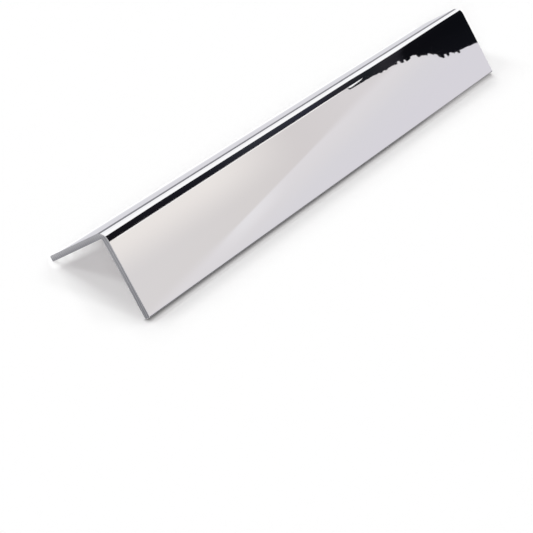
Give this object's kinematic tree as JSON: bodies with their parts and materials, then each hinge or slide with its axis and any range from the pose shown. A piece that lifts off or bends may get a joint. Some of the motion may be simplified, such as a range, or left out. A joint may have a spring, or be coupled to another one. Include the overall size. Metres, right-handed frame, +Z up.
{
  "type": "l trim",
  "caption": "Length of polished aluminium angle that caps the outside corner where two wall panels meet, with one leg wider than the other, a rounded outer corner, a small inner fillet and square sawn ends.",
  "frame": {"origin": "on the floor under the middle of the piece, which lies on the tips of both legs", "axes": "+X along the trim, +Y towards the back leg, +Z up through the outer corner"},
  "size_m": [0.22, 0.0316, 0.0155],
  "materials": {
    "polished_metal": "mirror polished, with fine saw marks on the cut ends"
  },
  "bodies": {
    "root": {"l_trim": "polished_metal"}
  },
  "joints": []
}
